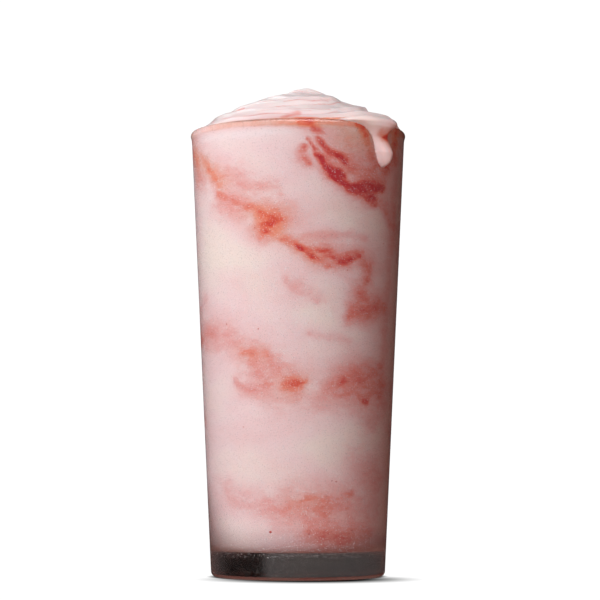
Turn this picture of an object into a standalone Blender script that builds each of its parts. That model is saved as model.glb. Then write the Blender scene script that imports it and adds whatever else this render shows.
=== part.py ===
"""A strawberry milkshake in its tall glass tumbler.

Two solids: the tumbler, turned from one profile, and the milkshake, which fills it, stands
above the rim in folded tiers and runs over the rim in one lip and drip.

The origin is on the axis at the surface that the glass stands on, and +Z is up. An azimuth is
in degrees from the front, -Y, and grows towards the right, +X. Sizes are named in millimetres.
"""

import math

import bmesh
import bpy
import numpy as np

MM = 0.001

# The tumbler
GLASS_HEIGHT = 160.0
FOOT_RADIUS = 31.1  # the straight outer wall carried down to the table
RIM_RADIUS = 38.65  # the same wall carried up to the rim
WALL_AT_FOOT = 2.7
WALL_AT_RIM = 2.1
FLOOR_THICKNESS = 9.8
FOOT_CORNER = 2.2
INNER_CORNER = 3.2
RECESS_RADIUS = 24.0
RECESS_DEPTH = 1.0
BEAD_HEIGHT = 2.8
BEAD_SWELL = 0.4
BEAD_ARC = (-35, 215)  # degrees of the bead's round section, over the top
BEAD_BLEND = 0.6  # height over which the wall runs into the bead
RECESS_STEPS = (0, 0.5, 0.85, 1)  # shares of the recess's radius
AROUND = 72  # flats round the glass

# The milkshake
CLEARANCE = 0.3  # between the milkshake and the glass
CROWN_HEIGHT = 15.2  # of the smooth crown, above the rim
CROWN_EDGE = 36.3  # where the smooth crown comes down to the rim's level
CROWN_CENTRE = (0.6, 0.0)  # the crown's top is off the axis
CROWN_FULLNESS = 1.37  # exponent of the crown's fall; more is fuller
CROWN_LEAN = 0.2  # how much hollower the front is than the back
CROWN_SHOULDER = 0.85  # under 1, the crown is steeper at its edge
UNEVEN = [(0.11, 0.31, 0.27, 0.7), (0.11, 0.31, -0.27, 1.5), (0.1, 0.7, 0.5, 0.0)]
UNEVEN_FADE = 6.0  # the waves above, (height, along x, along y, start), fade out at the edge
GROOVE_DEPTH = 0.22  # of the groove along a crease, as a share of its step
GROOVE_WIDTH = 0.7  # as a share of the crease's lip
SHALLOW = 0.1  # depth below the rim where the skin turns down inside the wall
DRIP_REACH = 17.5  # depth below the rim to which the skin follows the drip
SKIN_FLOOR = 5.0  # the uncut skin closes inside the glass's thick floor

# Creases where one tier of the swirl lies on the next, as (azimuth, radius, step) along each.
# The tier inside the crease stands higher by the step, which rounds over within the lip width
# and falls away over the run.
CREASES = {
    "middle tier": dict(
        along=[(-172, 31.5, 0), (-130, 32.0, 0.5), (-90, 32.4, 0.5), (-60, 31.8, 0.8),
               (-36, 32.8, 0.9), (-10, 32.6, 0.9), (8, 33.2, 0.8), (20, 32.0, 0.8),
               (36, 29.6, 1.0), (50, 28.4, 1.3), (65, 27.0, 1.7), (80, 26.4, 1.9),
               (112, 26.5, 1.7), (150, 25.5, 1.0), (190, 24.0, 0)],
        lip=1.8, run=5.0),
    "upper tier": dict(
        along=[(-200, 20.5, 0), (-150, 21.0, 0.7), (-112, 21.4, 0.6), (-90, 22.0, 0.5),
               (-72, 25.0, 0.7), (-55, 28.0, 1.0), (-40, 27.8, 1.1), (-20, 27.0, 1.2),
               (0, 25.4, 1.3), (25, 23.2, 1.3), (45, 20.4, 1.1), (66, 17.0, 0.8),
               (90, 14.4, 0.6), (120, 14.4, 0.7), (150, 13.6, 0.8), (185, 12.2, 0)],
        lip=3.0, run=9.0),
    "top curl": dict(
        along=[(-124, 9.0, 0), (-96, 5.6, 0.6), (-40, 3.6, 0.9), (20, 3.6, 0.9),
               (58, 5.6, 1.4), (76, 8.8, 1.3), (86, 12.0, 0.6), (92, 15.0, 0)],
        lip=2.2, run=6.0),
    "front wrinkle": dict(
        along=[(-46, 24.2, 0), (-20, 22.4, 0.5), (8, 21.6, 0.5), (34, 20.4, 0.5),
               (60, 19.6, 0)],
        lip=0.9, run=2.4),
    "back wrinkle": dict(
        along=[(140, 20.5, 0), (175, 18.6, 0.6), (212, 18.4, 0.6), (240, 19.4, 0)],
        lip=1.0, run=2.6),
}

# The line where the lip and drip end on the glass, as (azimuth, depth below the rim)
SPILL_EDGE = [
    (17.5, 3.5), (18.6, 1.8), (21.0, 0.7), (25.0, 0.1), (30.0, -0.4), (35.4, -1.1),
    (39.6, -2.6), (43.2, -5.0), (45.2, -8.2), (46.6, -11.0), (48.2, -13.2), (50.4, -14.7),
    (52.8, -15.0), (55.0, -14.1), (56.8, -12.2), (57.3, -9.6), (55.8, -6.6), (54.6, -4.4),
    (55.4, -3.0), (58.0, -1.8), (61.5, -0.7), (65.2, 0.3), (68.6, 1.4), (70.0, 3.5),
]
SPILL_ROUND = 3.4  # distance from that line over which the spill rounds up to full thickness
LIP_THICKNESS = 3.0  # beyond the glass's outer wall
NECK_THICKNESS = 1.3
DRIP_THICKNESS = 3.2
LIP_DEPTH, NECK_DEPTH, DRIP_DEPTH = -1.4, -5.2, -10.2
TONGUE_HEIGHT = 2.6  # the milkshake above the rim's top where it runs over
TONGUE_DIP = 1.3  # the crown below the rim's top in the middle of the glass's wall
TONGUE_AZIMUTHS = (11.0, 40.0, 62.0, 80.0)  # it rises over the first two, falls over the last
TONGUE_ROOT = (30.0, 37.0)  # radii between which the tongue rises from the crown
SINK = 1.2  # distance beyond the spill's edge over which the skin sinks into the wall
PROUD = 0.15  # of the glass, so that the spill's edge doesn't lie in its surface
TURN_PULL = 0.55  # how round the skin turns over the rim

# How finely the milkshake's skin is divided
FINE_AZIMUTHS = (16.0, 80.0)
FINE_STEP, COARSE_STEP = 2.0, 4.375
CROWN_ROWS, TURN_ROWS, WALL_ROWS = 24, 5, 14
ROWS_CROWDED = 1.4  # the rows on the wall are closer near the rim


def outer_radius(z):
    return FOOT_RADIUS + (RIM_RADIUS - FOOT_RADIUS) * z / GLASS_HEIGHT


def wall_thickness(z):
    return WALL_AT_FOOT + (WALL_AT_RIM - WALL_AT_FOOT) * z / GLASS_HEIGHT


def mid_wall_radius(z):
    return outer_radius(z) - wall_thickness(z) / 2


def arc(centre, radii, start_deg, end_deg, steps):
    """Points on an ellipse's arc about a (radius, height) centre, both ends included."""
    angles = np.radians(np.linspace(start_deg, end_deg, steps + 1))
    return [(centre[0] + radii[0] * math.cos(a), centre[1] + radii[1] * math.sin(a))
            for a in angles]


def glass_profile(grow=0.0):
    """The tumbler's outline as (radius, height), from under the foot, up the outside, over the
    rim and down the inside. With grow it is that much fatter all round."""
    recess = [(RECESS_RADIUS * t, RECESS_DEPTH * (1 - t * t) - grow) for t in RECESS_STEPS]
    corner_out = outer_radius(FOOT_CORNER) + grow
    foot = arc((corner_out - FOOT_CORNER, FOOT_CORNER - grow), (FOOT_CORNER, FOOT_CORNER),
               -90, 0, 5)
    bead_low = GLASS_HEIGHT - BEAD_HEIGHT
    bead_half = wall_thickness(bead_low) / 2 + grow
    bead_middle = (mid_wall_radius(bead_low) + BEAD_SWELL / 2, GLASS_HEIGHT - BEAD_HEIGHT / 2)
    bead = arc(bead_middle, (bead_half + BEAD_SWELL / 2, BEAD_HEIGHT / 2 + grow), *BEAD_ARC, 11)
    blend_low = bead_low - BEAD_BLEND
    below_bead = (outer_radius(blend_low) + grow, blend_low)
    inside_bead = (outer_radius(bead_low) - wall_thickness(bead_low) - grow, blend_low)
    inner_low = FLOOR_THICKNESS + INNER_CORNER
    inner_wall = outer_radius(inner_low) - wall_thickness(inner_low) - grow
    corner = arc((inner_wall - INNER_CORNER, inner_low + grow), (INNER_CORNER, INNER_CORNER),
                 0, -90, 4)
    floor = [(0.0, FLOOR_THICKNESS + grow)]
    return recess + foot + [below_bead] + bead + [inside_bead] + corner + floor


def smooth_through(points, per_span=8):
    """Points along a Catmull-Rom curve through the given plane points."""
    given = np.array(points, float)
    padded = np.vstack([2 * given[0] - given[1], given, 2 * given[-1] - given[-2]])
    t = np.linspace(0, 1, per_span, endpoint=False)[:, None]
    spans = []
    for a, b, c, d in zip(padded, padded[1:], padded[2:], padded[3:]):
        spans.append(0.5 * (2 * b + (c - a) * t + (2 * a - 5 * b + 4 * c - d) * t ** 2
                            + (3 * b - a - 3 * c + d) * t ** 3))
    return np.vstack(spans + [given[-1:]])


def smooth_step(value, low, high):
    t = np.clip((value - low) / (high - low), 0, 1)
    return t * t * (3 - 2 * t)


def to_line(points, line):
    """For each plane point: its distance from the line, the side it is on (+1 is the left of
    the line's direction) and the nearest point on the line, as span and share of that span."""
    best = np.full(len(points), 1e9)
    side = np.zeros(len(points))
    place = np.zeros(len(points))
    for span, (a, b) in enumerate(zip(line[:, :2], line[1:, :2])):
        length = np.linalg.norm(b - a)
        direction = (b - a) / length
        offset = points - a
        t = np.clip(offset @ direction, 0, length)
        distance = np.linalg.norm(offset - t[:, None] * direction, axis=1)
        nearer = distance < best
        cross = direction[0] * offset[:, 1] - direction[1] * offset[:, 0]
        best = np.where(nearer, distance, best)
        side = np.where(nearer, np.where(cross >= 0, 1.0, -1.0), side)
        place = np.where(nearer, span + t / length, place)
    return best, side, place


def plan(azimuth, radius):
    """The place in plan of an azimuth in degrees and a radius."""
    a = np.radians(azimuth)
    return np.stack([radius * np.sin(a), -radius * np.cos(a)], axis=-1)


def fold(points, crease):
    """The height that one tier of the swirl adds at points in plan."""
    line = smooth_through([(*plan(azimuth, radius), step)
                           for azimuth, radius, step in crease["along"]])
    distance, side, place = to_line(points, line)
    step = np.interp(place, np.arange(len(line)), line[:, 2])
    lip = np.clip(distance / crease["lip"], 0, 1)
    beyond = np.clip(distance - crease["lip"], 0, None)
    inside = np.sin(lip * math.pi / 2) * np.exp(-beyond / crease["run"])
    groove = GROOVE_DEPTH * np.exp(-distance / (GROOVE_WIDTH * crease["lip"]))
    return step * (np.where(side > 0, inside, 0) - groove)


def crown(azimuth, radius):
    """Height of the milkshake above the rim's level, without the tongue that runs over."""
    points = plan(azimuth, radius)
    centre = np.array(CROWN_CENTRE)
    q = points - centre
    spread = CROWN_EDGE ** 2 - centre @ centre
    along = q @ centre
    share = (along + np.sqrt(along ** 2 + spread * (q ** 2).sum(axis=1))) / spread
    x, y = points.T
    fullness = CROWN_FULLNESS + CROWN_LEAN * y / CROWN_EDGE
    fall = 1 - share ** fullness
    height = CROWN_HEIGHT * np.sign(fall) * np.abs(fall) ** CROWN_SHOULDER
    for crease in CREASES.values():
        height += fold(points, crease)
    waves = sum(size * np.sin(along_x * x + along_y * y + start)
                for size, along_x, along_y, start in UNEVEN)
    return height + waves * smooth_step(CROWN_EDGE - radius, 0, UNEVEN_FADE)


def spill_depth(azimuth, depth):
    """How far inside the spill's edge a point on the glass's wall is, in mm; minus outside."""
    arc_length = math.radians(1) * RIM_RADIUS
    line = smooth_through([(a * arc_length, z) for a, z in SPILL_EDGE])
    points = np.stack([azimuth * arc_length, depth], axis=-1)
    distance, side, _ = to_line(points, line)
    return distance * side


def rounded(inside, over):
    """A drop's round shoulder: 0 at its edge, 1 from the distance over inwards."""
    return np.sqrt(1 - (1 - np.clip(inside / over, 0, 1)) ** 2)


def spill_thickness(azimuth, depth):
    """The thickness of the lip and drip beyond the glass's outer wall."""
    full = np.interp(depth, [DRIP_DEPTH, NECK_DEPTH, LIP_DEPTH],
                     [DRIP_THICKNESS, NECK_THICKNESS, LIP_THICKNESS])
    return full * rounded(spill_depth(azimuth, depth), SPILL_ROUND)


def tongue(azimuth, radius):
    """What the spill adds to the crown's height, growing towards the rim."""
    start, crest, shoulder, end = TONGUE_AZIMUTHS
    share = smooth_step(azimuth, start, crest) * (1 - smooth_step(azimuth, shoulder, end))
    return (TONGUE_HEIGHT + TONGUE_DIP) * share * smooth_step(radius, *TONGUE_ROOT)


def skin_column(azimuth):
    """One meridian of the milkshake's skin, top to bottom, as (radius, height) pairs. Where
    nothing spills it ends inside the glass's wall, which is cut away afterwards."""
    rim_middle = mid_wall_radius(GLASS_HEIGHT)
    radii = rim_middle * np.arange(1, CROWN_ROWS + 1) / CROWN_ROWS
    azimuths = np.full_like(radii, azimuth)
    heights = GLASS_HEIGHT + crown(azimuths, radii) + tongue(azimuths, radii)
    depths = -SHALLOW - (DRIP_REACH - SHALLOW) * np.linspace(0, 1, WALL_ROWS) ** ROWS_CROWDED
    z = GLASS_HEIGHT + depths
    inside = spill_depth(np.full_like(z, azimuth), depths)
    surfaced = wall_thickness(z) / 2 * smooth_step(inside, -SINK, 0.0) + PROUD
    wall = mid_wall_radius(z) + surfaced + spill_thickness(np.full_like(z, azimuth), depths)
    start = np.array([radii[-1], heights[-1]])
    slope = min(0.0, (heights[-1] - heights[-2]) / (radii[-1] - radii[-2]))
    end = np.array([wall[0], z[0]])
    pull = TURN_PULL * np.array([end[0] - start[0], start[1] - end[1]])
    handles = start, start + pull[0] * np.array([1, 0.5 * slope]), end + [0, pull[1]], end
    t = np.linspace(0, 1, TURN_ROWS + 1)[1:-1, None]
    a, b, c, d = handles
    turn = a * (1 - t) ** 3 + 3 * b * t * (1 - t) ** 2 + 3 * c * t ** 2 * (1 - t) + d * t ** 3
    bottom = np.array([[mid_wall_radius(SKIN_FLOOR), SKIN_FLOOR]])
    return np.vstack([np.stack([radii, heights], 1), turn, np.stack([wall, z], 1), bottom])


def skin_azimuths():
    low, high = FINE_AZIMUTHS
    fine = np.arange(low, high, FINE_STEP)
    coarse = np.arange(high, low + 360, COARSE_STEP)
    return np.concatenate([fine, coarse])


def material(name, colour, roughness, transmission=0.0):
    made = bpy.data.materials.new(name)
    made.use_nodes = True
    shader = made.node_tree.nodes["Principled BSDF"]
    shader.inputs["Base Color"].default_value = (*colour, 1.0)
    shader.inputs["Roughness"].default_value = roughness
    shader.inputs["Metallic"].default_value = 0.0
    shader.inputs["Transmission Weight"].default_value = transmission
    return made


def mesh_object(name, bm, look, sharp_deg=40.0):
    bmesh.ops.recalc_face_normals(bm, faces=bm.faces)
    mesh = bpy.data.meshes.new(name)
    bm.to_mesh(mesh)
    bm.free()
    mesh.shade_smooth()
    mesh.set_sharp_from_angle(angle=math.radians(sharp_deg))
    made = bpy.data.objects.new(name, mesh)
    bpy.context.scene.collection.objects.link(made)
    if look:
        made.data.materials.append(look)
    return made


def turned(name, profile, look):
    """A solid of revolution whose (radius, height) profile starts and ends on the axis."""
    bm = bmesh.new()
    verts = [bm.verts.new((r * MM, 0, z * MM)) for r, z in profile]
    edges = [bm.edges.new(pair) for pair in zip(verts, verts[1:])]
    bmesh.ops.spin(bm, geom=verts + edges, cent=(0, 0, 0), axis=(0, 0, 1), dvec=(0, 0, 0),
                   angle=2 * math.pi, steps=AROUND, use_merge=True)
    bmesh.ops.remove_doubles(bm, verts=bm.verts, dist=1e-6)
    return mesh_object(name, bm, look)


def milkshake_skin(name, look):
    """The milkshake's outer form as a closed mesh of meridians, before the glass is cut out."""
    azimuths = skin_azimuths()
    bm = bmesh.new()
    columns = []
    for azimuth in azimuths:
        around = math.radians(azimuth)
        columns.append([
            bm.verts.new((r * math.sin(around) * MM, -r * math.cos(around) * MM, z * MM))
            for r, z in skin_column(azimuth)])
    centre_height = GLASS_HEIGHT + float(crown(np.zeros(1), np.zeros(1))[0])
    top = bm.verts.new((0, 0, centre_height * MM))
    foot = bm.verts.new((0, 0, SKIN_FLOOR * MM))
    for left, right in zip(columns, columns[1:] + columns[:1]):
        bm.faces.new((top, left[0], right[0]))
        for upper, lower in zip(zip(left, right), zip(left[1:], right[1:])):
            bm.faces.new((upper[0], lower[0], lower[1], upper[1]))
        bm.faces.new((foot, right[-1], left[-1]))
    return mesh_object(name, bm, look, sharp_deg=60.0)


def main():
    for old in list(bpy.data.objects):
        bpy.data.objects.remove(old)

    clear_glass = material("clear_glass", (0.96, 0.97, 0.97), 0.05, transmission=1.0)
    milkshake_pink = material("milkshake_pink", (0.87, 0.63, 0.62), 0.35)

    turned("glass", glass_profile(), clear_glass)
    clearance = turned("glass_clearance", glass_profile(grow=CLEARANCE), None)
    clearance.hide_render = True
    clearance.display_type = "WIRE"

    milkshake = milkshake_skin("milkshake", milkshake_pink)
    cut = milkshake.modifiers.new("glass fits in", "BOOLEAN")
    cut.operation = "DIFFERENCE"
    cut.object = clearance


if __name__ == "__main__":
    main()
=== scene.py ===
"""The looks of a strawberry milkshake in its tall glass tumbler.

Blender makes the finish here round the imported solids: a fine glass, a fine milkshake whose
marbling, tiers and drip are the solid's own form at a higher resolution, fruit pulp at the
drink's surface, and the condensation on the glass.

Lengths are in millimetres until a mesh is made. An azimuth is in degrees from the front, -Y, and
grows towards the right, +X. A depth is measured from the rim and is negative below it.
"""

import math

import bpy
import numpy as np
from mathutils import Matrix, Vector, noise


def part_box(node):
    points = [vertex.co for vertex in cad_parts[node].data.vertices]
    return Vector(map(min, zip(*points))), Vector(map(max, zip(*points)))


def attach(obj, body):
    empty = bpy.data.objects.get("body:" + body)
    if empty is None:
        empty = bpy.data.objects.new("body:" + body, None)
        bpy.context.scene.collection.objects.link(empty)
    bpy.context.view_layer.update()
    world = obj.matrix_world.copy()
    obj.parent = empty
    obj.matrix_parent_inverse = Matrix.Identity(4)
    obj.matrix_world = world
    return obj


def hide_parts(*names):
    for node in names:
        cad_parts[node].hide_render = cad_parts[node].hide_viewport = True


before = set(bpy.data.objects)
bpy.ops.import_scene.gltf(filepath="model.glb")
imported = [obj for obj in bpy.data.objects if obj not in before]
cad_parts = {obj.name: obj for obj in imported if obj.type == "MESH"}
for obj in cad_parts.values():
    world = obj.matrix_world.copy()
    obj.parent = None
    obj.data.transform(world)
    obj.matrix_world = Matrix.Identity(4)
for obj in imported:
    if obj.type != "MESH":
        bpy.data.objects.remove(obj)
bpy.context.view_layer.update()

MM = 0.001

# The tumbler, as in the solids. Its height and rim come from the frame.
glass_low, glass_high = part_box("glass")
GLASS_HEIGHT = round((glass_high.z - glass_low.z) / MM, 2)
FOOT_RADIUS = 31.1
RIM_RADIUS = 38.65
WALL_AT_FOOT = 2.7
WALL_AT_RIM = 2.1
FLOOR_THICKNESS = 9.8
FOOT_CORNER = 2.2
INNER_CORNER = 3.2
RECESS_RADIUS = 24.0
RECESS_DEPTH = 1.0
BEAD_HEIGHT = 2.8
BEAD_SWELL = 0.4
BEAD_ARC = (-35, 215)  # degrees of the bead's round section, over the top
BEAD_BLEND = 0.6  # height over which the wall runs into the bead
BEAD_UNDER = 0.8  # share of the bead's height below which the wall is straight
GLASS_IOR = 1.52
RIM_ARC = math.radians(1) * RIM_RADIUS  # the length of a degree round the rim
GLASS_COLUMNS = 288
RECESS_ROWS, CORNER_STEPS, BEAD_STEPS, WALL_STEPS, FLOOR_STEPS = 12, 10, 26, 12, 6
GLASS_SHARP = 50  # degrees between faces from which an edge of the glass is drawn sharp

# The swirl that stands above the rim, as in the solids
CROWN_HEIGHT = 15.2
CROWN_EDGE = 36.3
CROWN_CENTRE = (0.6, 0.0)
CROWN_FULLNESS = 1.37
CROWN_LEAN = 0.2
CROWN_SHOULDER = 0.85
GROOVE_DEPTH = 0.22  # of the groove along a crease, as a share of its step
GROOVE_WIDTH = 0.7  # as a share of the crease's lip

# Creases of the swirl, as (azimuth, radius, step) along each
CREASES = {
    "middle tier": dict(
        along=[(-172, 31.5, 0), (-130, 32.0, 0.5), (-90, 32.4, 0.5), (-60, 31.8, 0.8),
               (-36, 32.8, 0.9), (-10, 32.6, 0.9), (8, 33.2, 0.8), (20, 32.0, 0.8),
               (36, 29.6, 1.0), (50, 28.4, 1.3), (65, 27.0, 1.7), (80, 26.4, 1.9),
               (112, 26.5, 1.7), (150, 25.5, 1.0), (190, 24.0, 0)],
        lip=1.8, run=5.0),
    "upper tier": dict(
        along=[(-200, 20.5, 0), (-150, 21.0, 0.7), (-112, 21.4, 0.6), (-90, 22.0, 0.5),
               (-72, 25.0, 0.7), (-55, 28.0, 1.0), (-40, 27.8, 1.1), (-20, 27.0, 1.2),
               (0, 25.4, 1.3), (25, 23.2, 1.3), (45, 20.4, 1.1), (66, 17.0, 0.8),
               (90, 14.4, 0.6), (120, 14.4, 0.7), (150, 13.6, 0.8), (185, 12.2, 0)],
        lip=3.0, run=9.0),
    "top curl": dict(
        along=[(-124, 9.0, 0), (-96, 5.6, 0.6), (-40, 3.6, 0.9), (20, 3.6, 0.9),
               (58, 5.6, 1.4), (76, 8.8, 1.3), (86, 12.0, 0.6), (92, 15.0, 0)],
        lip=2.2, run=6.0),
    "front wrinkle": dict(
        along=[(-46, 24.2, 0), (-20, 22.4, 0.5), (8, 21.6, 0.5), (34, 20.4, 0.5),
               (60, 19.6, 0)],
        lip=0.9, run=2.4),
    "back wrinkle": dict(
        along=[(140, 20.5, 0), (175, 18.6, 0.6), (212, 18.4, 0.6), (240, 19.4, 0)],
        lip=1.0, run=2.6),
}

# Low waves on the crown: their height, how tight they are along x and y, and their starts
WAVE_HEIGHT, WAVE_X, WAVE_Y, WAVE_STARTS = 0.22, 0.31, 0.27, (1.1, -0.4)
SMALL_WAVE, SMALL_WAVE_X, SMALL_WAVE_Y = 0.1, 0.7, 0.5
WAVE_FADE = 6.0  # the distance from the edge over which they fade out

# Fine ripples beside each crease, which the solids leave out. They sway along the crease.
RIPPLE_GAP = 1.5
RIPPLE_DEPTH = 0.025
RIPPLE_REACH = 5.0
RIPPLE_SWAY, RIPPLE_SWAY_PACE = 0.6, 0.12

# The lip and drip, as in the solids
SPILL_EDGE = [
    (17.5, 3.5), (18.6, 1.8), (21.0, 0.7), (25.0, 0.1), (30.0, -0.4), (35.4, -1.1),
    (39.6, -2.6), (43.2, -5.0), (45.2, -8.2), (46.6, -11.0), (48.2, -13.2), (50.4, -14.7),
    (52.8, -15.0), (55.0, -14.1), (56.8, -12.2), (57.3, -9.6), (55.8, -6.6), (54.6, -4.4),
    (55.4, -3.0), (58.0, -1.8), (61.5, -0.7), (65.2, 0.3), (68.6, 1.4), (70.0, 3.5),
]
SPILL_ROUND = 3.4
LIP_THICKNESS = 3.0
NECK_THICKNESS = 1.3
DRIP_THICKNESS = 3.2
LIP_DEPTH, NECK_DEPTH, DRIP_DEPTH = -1.4, -5.2, -10.2
TONGUE_HEIGHT = 2.6
TONGUE_DIP = 1.3
TONGUE_AZIMUTHS = (11.0, 40.0, 62.0, 80.0)
TONGUE_ROOT = (30.0, 37.0)
SPILL_AZIMUTHS = (8.0, 84.0)  # between which the spill is looked for
SPILL_START, DRIP_REACH = 0.1, 16.6  # depths below the rim that its sheets cover on the wall
TURN_PULL = 0.55  # how round the spill turns over the rim

# How the fine milkshake is divided, and how far it bites into the glass
COLUMNS = 576
CROWN_ROWS = 90
CROWN_CROWDED = 0.9  # under 1, the crown's rows are closer near its edge
SEAM_DEPTH = 0.9  # below the rim, where the swirl's piece ends and the drink's begins
WALL_STEP = 0.8
DRINK_CORNER_STEPS, DRINK_FLOOR_STEPS = 8, 20
OVER_ROWS, TURN_ROWS, SPILL_ROWS = 3, 9, 56
SPILL_CROWDED = 1.15  # over 1, the spill's rows are closer near the rim
BITE = 0.25  # into the glass's inner face, so that no air shows between
SPILL_BITE = 0.5  # into the glass under the lip and drip
SPILL_MARGIN = 0.5  # kept beyond the spill's edge, buried in the glass

# The camera, fitted to the photo's rim, foot and wall
PHOTO_SIZE = 600
CAMERA_DISTANCE = 817.5
CAMERA_HEIGHT = 41.65
CAMERA_SIDE = 0.72
CAMERA_PITCH = 4.04
CAMERA_LENS = 136.0
SENSOR = 36.0


def smooth_through(points, per_span=8):
    """Points along a Catmull-Rom curve through the given points."""
    given = np.array(points, float)
    padded = np.vstack([2 * given[0] - given[1], given, 2 * given[-1] - given[-2]])
    t = np.linspace(0, 1, per_span, endpoint=False)[:, None]
    spans = []
    for a, b, c, d in zip(padded, padded[1:], padded[2:], padded[3:]):
        spans.append(0.5 * (2 * b + (c - a) * t + (2 * a - 5 * b + 4 * c - d) * t ** 2
                            + (3 * b - a - 3 * c + d) * t ** 3))
    return np.vstack(spans + [given[-1:]])


def smooth_step(value, low, high):
    t = np.clip((value - low) / (high - low), 0, 1)
    return t * t * (3 - 2 * t)


def to_line(points, line):
    """For each plane point: its distance from the line, its side of it (+1 is left) and the
    nearest place on the line, as span and share of that span."""
    best = np.full(len(points), 1e9)
    side = np.zeros(len(points))
    place = np.zeros(len(points))
    for span, (a, b) in enumerate(zip(line[:, :2], line[1:, :2])):
        length = np.linalg.norm(b - a)
        direction = (b - a) / length
        offset = points - a
        t = np.clip(offset @ direction, 0, length)
        distance = np.linalg.norm(offset - t[:, None] * direction, axis=1)
        nearer = distance < best
        cross = direction[0] * offset[:, 1] - direction[1] * offset[:, 0]
        best = np.where(nearer, distance, best)
        side = np.where(nearer, np.where(cross >= 0, 1.0, -1.0), side)
        place = np.where(nearer, span + t / length, place)
    return best, side, place


def outer_radius(z):
    return FOOT_RADIUS + (RIM_RADIUS - FOOT_RADIUS) * z / GLASS_HEIGHT


def wall_thickness(z):
    return WALL_AT_FOOT + (WALL_AT_RIM - WALL_AT_FOOT) * z / GLASS_HEIGHT


def inner_radius(z):
    return outer_radius(z) - wall_thickness(z)


def bead_section():
    """The rim bead's middle (radius, height) and its half width and half height."""
    low = GLASS_HEIGHT - BEAD_HEIGHT
    half_wall = wall_thickness(low) / 2
    middle = (outer_radius(low) - half_wall + BEAD_SWELL / 2, GLASS_HEIGHT - BEAD_HEIGHT / 2)
    return middle, (half_wall + BEAD_SWELL / 2, BEAD_HEIGHT / 2)


def glass_skin(z):
    """The glass's outer radius with the bead's swell."""
    (middle, height), (half_width, half_height) = bead_section()
    share = np.clip(np.abs(z - height) / half_height, 0, 1)
    wall = outer_radius(np.minimum(z, GLASS_HEIGHT - BEAD_UNDER * BEAD_HEIGHT))
    return np.maximum(wall, middle + half_width * np.sqrt(1 - share ** 2))


def glass_top(radius):
    """Height of the bead's upper side at a radius."""
    (middle, height), (half_width, half_height) = bead_section()
    share = np.clip(np.abs(radius - middle) / half_width, 0, 1)
    return height + half_height * np.sqrt(1 - share ** 2)


def arc(centre, radii, start_deg, end_deg, steps):
    angles = np.radians(np.linspace(start_deg, end_deg, steps + 1))
    return [(centre[0] + radii[0] * math.cos(a), centre[1] + radii[1] * math.sin(a))
            for a in angles]


def along(start, end, steps):
    """Points from start to end, without the end."""
    return [tuple(np.array(start) + (np.array(end) - start) * t)
            for t in np.linspace(0, 1, steps, endpoint=False)]


def glass_profile():
    """The tumbler's outline as (radius, height), from under the foot, up, over and down."""
    recess = [(RECESS_RADIUS * t, RECESS_DEPTH * (1 - t * t))
              for t in np.linspace(0, 1, RECESS_ROWS, endpoint=False)]
    foot = arc((outer_radius(FOOT_CORNER) - FOOT_CORNER, FOOT_CORNER),
               (FOOT_CORNER, FOOT_CORNER), -90, 0, CORNER_STEPS)
    blend_low = GLASS_HEIGHT - BEAD_HEIGHT - BEAD_BLEND
    below_bead = (outer_radius(blend_low), blend_low)
    bead = arc(*bead_section(), *BEAD_ARC, BEAD_STEPS)
    inside_bead = (inner_radius(blend_low), blend_low)
    inner_low = FLOOR_THICKNESS + INNER_CORNER
    corner = arc((inner_radius(inner_low) - INNER_CORNER, inner_low),
                 (INNER_CORNER, INNER_CORNER), 0, -90, CORNER_STEPS)
    middle = (0.0, FLOOR_THICKNESS)
    floor = along(corner[-1], middle, FLOOR_STEPS)[1:] + [middle]
    outside = foot[:-1] + along(foot[-1], below_bead, WALL_STEPS) + [below_bead]
    inside = along(inside_bead, corner[0], WALL_STEPS) + corner
    return recess + [(RECESS_RADIUS, 0.0)] + outside + bead + inside + floor


def plan(azimuth, radius):
    """The place in plan of an azimuth in degrees and a radius."""
    a = np.radians(azimuth)
    return np.stack([radius * np.sin(a), -radius * np.cos(a)], axis=-1)


def crease_line(crease):
    return smooth_through([(*plan(azimuth, radius), step)
                           for azimuth, radius, step in crease["along"]])


def fold(points, crease):
    """The height that one tier of the swirl adds at points in plan, with fine ripples."""
    line = crease_line(crease)
    distance, side, place = to_line(points, line)
    step = np.interp(place, np.arange(len(line)), line[:, 2])
    lip = np.clip(distance / crease["lip"], 0, 1)
    beyond = np.clip(distance - crease["lip"], 0, None)
    inside = np.sin(lip * math.pi / 2) * np.exp(-beyond / crease["run"])
    groove = GROOVE_DEPTH * np.exp(-distance / (GROOVE_WIDTH * crease["lip"]))
    sway = RIPPLE_SWAY * np.sin(RIPPLE_SWAY_PACE * place)
    ripple = np.sin(2 * math.pi * distance / RIPPLE_GAP + sway)
    fine = RIPPLE_DEPTH * ripple * np.exp(-distance / RIPPLE_REACH)
    return step * (np.where(side > 0, inside, 0) - groove + fine)


def base_crown(points):
    """The crown's smooth form."""
    centre = np.array(CROWN_CENTRE)
    q = points - centre
    spread = CROWN_EDGE ** 2 - centre @ centre
    towards = q @ centre
    share = (towards + np.sqrt(towards ** 2 + spread * (q ** 2).sum(axis=1))) / spread
    fullness = CROWN_FULLNESS + CROWN_LEAN * points[:, 1] / CROWN_EDGE
    fall = 1 - share ** fullness
    return CROWN_HEIGHT * np.sign(fall) * np.abs(fall) ** CROWN_SHOULDER


def crown(points):
    """Height of the milkshake above the rim's level, without the tongue that runs over."""
    height = base_crown(points)
    for crease in CREASES.values():
        height += fold(points, crease)
    x, y = points.T
    across, back = WAVE_STARTS
    uneven = WAVE_HEIGHT * np.sin(WAVE_X * x + across) * np.cos(WAVE_Y * y + back)
    uneven = uneven + SMALL_WAVE * np.sin(SMALL_WAVE_X * x + SMALL_WAVE_Y * y)
    radius = np.linalg.norm(points, axis=1)
    return height + uneven * smooth_step(CROWN_EDGE - radius, 0, WAVE_FADE)


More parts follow.
